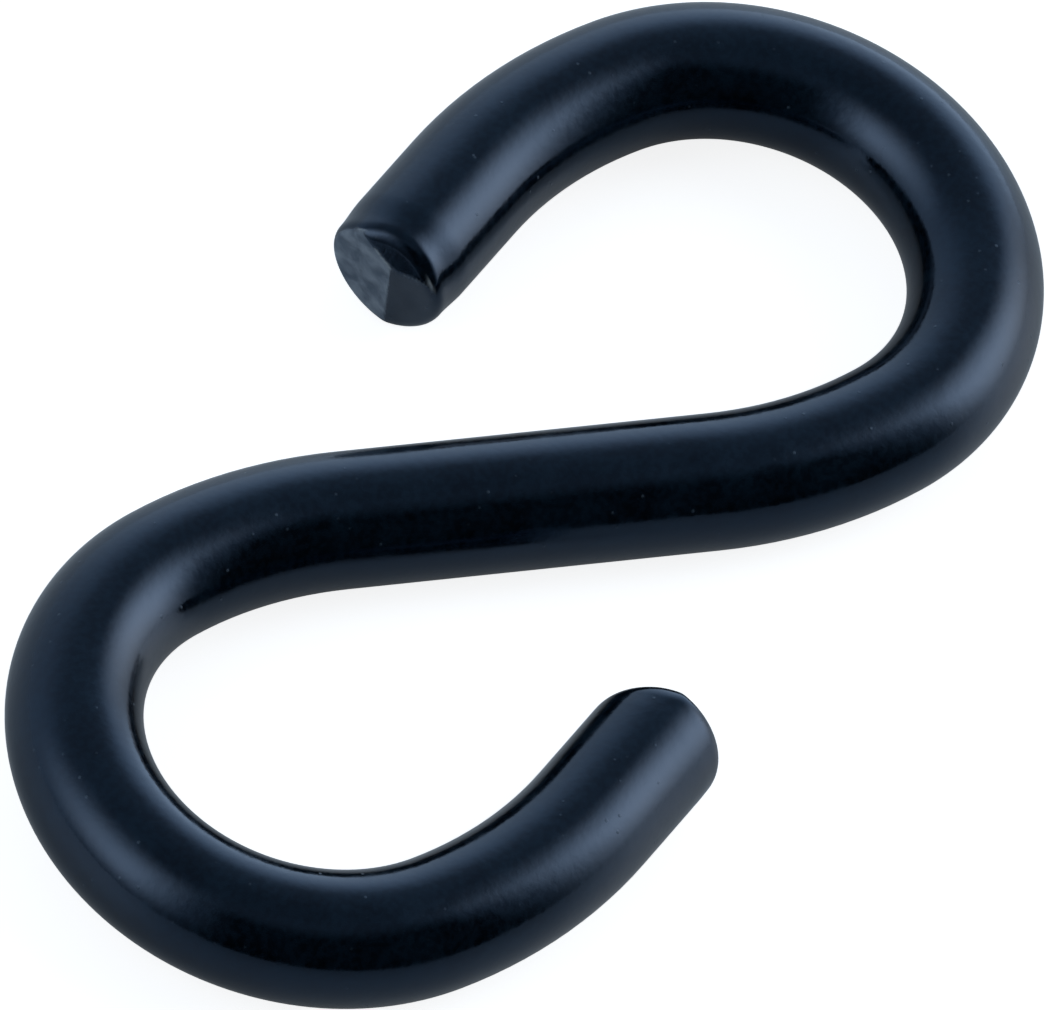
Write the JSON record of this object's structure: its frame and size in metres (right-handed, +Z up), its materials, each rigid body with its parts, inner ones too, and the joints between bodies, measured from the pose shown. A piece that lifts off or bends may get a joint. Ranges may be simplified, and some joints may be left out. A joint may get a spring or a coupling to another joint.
{
  "type": "s hook",
  "caption": "S-shaped hook of round steel wire with a dark gloss coat: open loops face opposite ways at both ends of a short slanting shank, each with a short straight leg and a cropped tip.",
  "frame": {"origin": "middle of the bounding box's underside: the hook lies on its side on z = 0, with the middle of its shank above the origin", "axes": "+X along the line of pull, through the centres of both loops, towards the loop whose leg lies on the +Y side; +Z up, square to the plane that the wire is bent in"},
  "size_m": [0.0612, 0.029, 0.006],
  "materials": {
    "black_coat": "gloss"
  },
  "bodies": {
    "root": {"hook": "black_coat"}
  },
  "joints": []
}
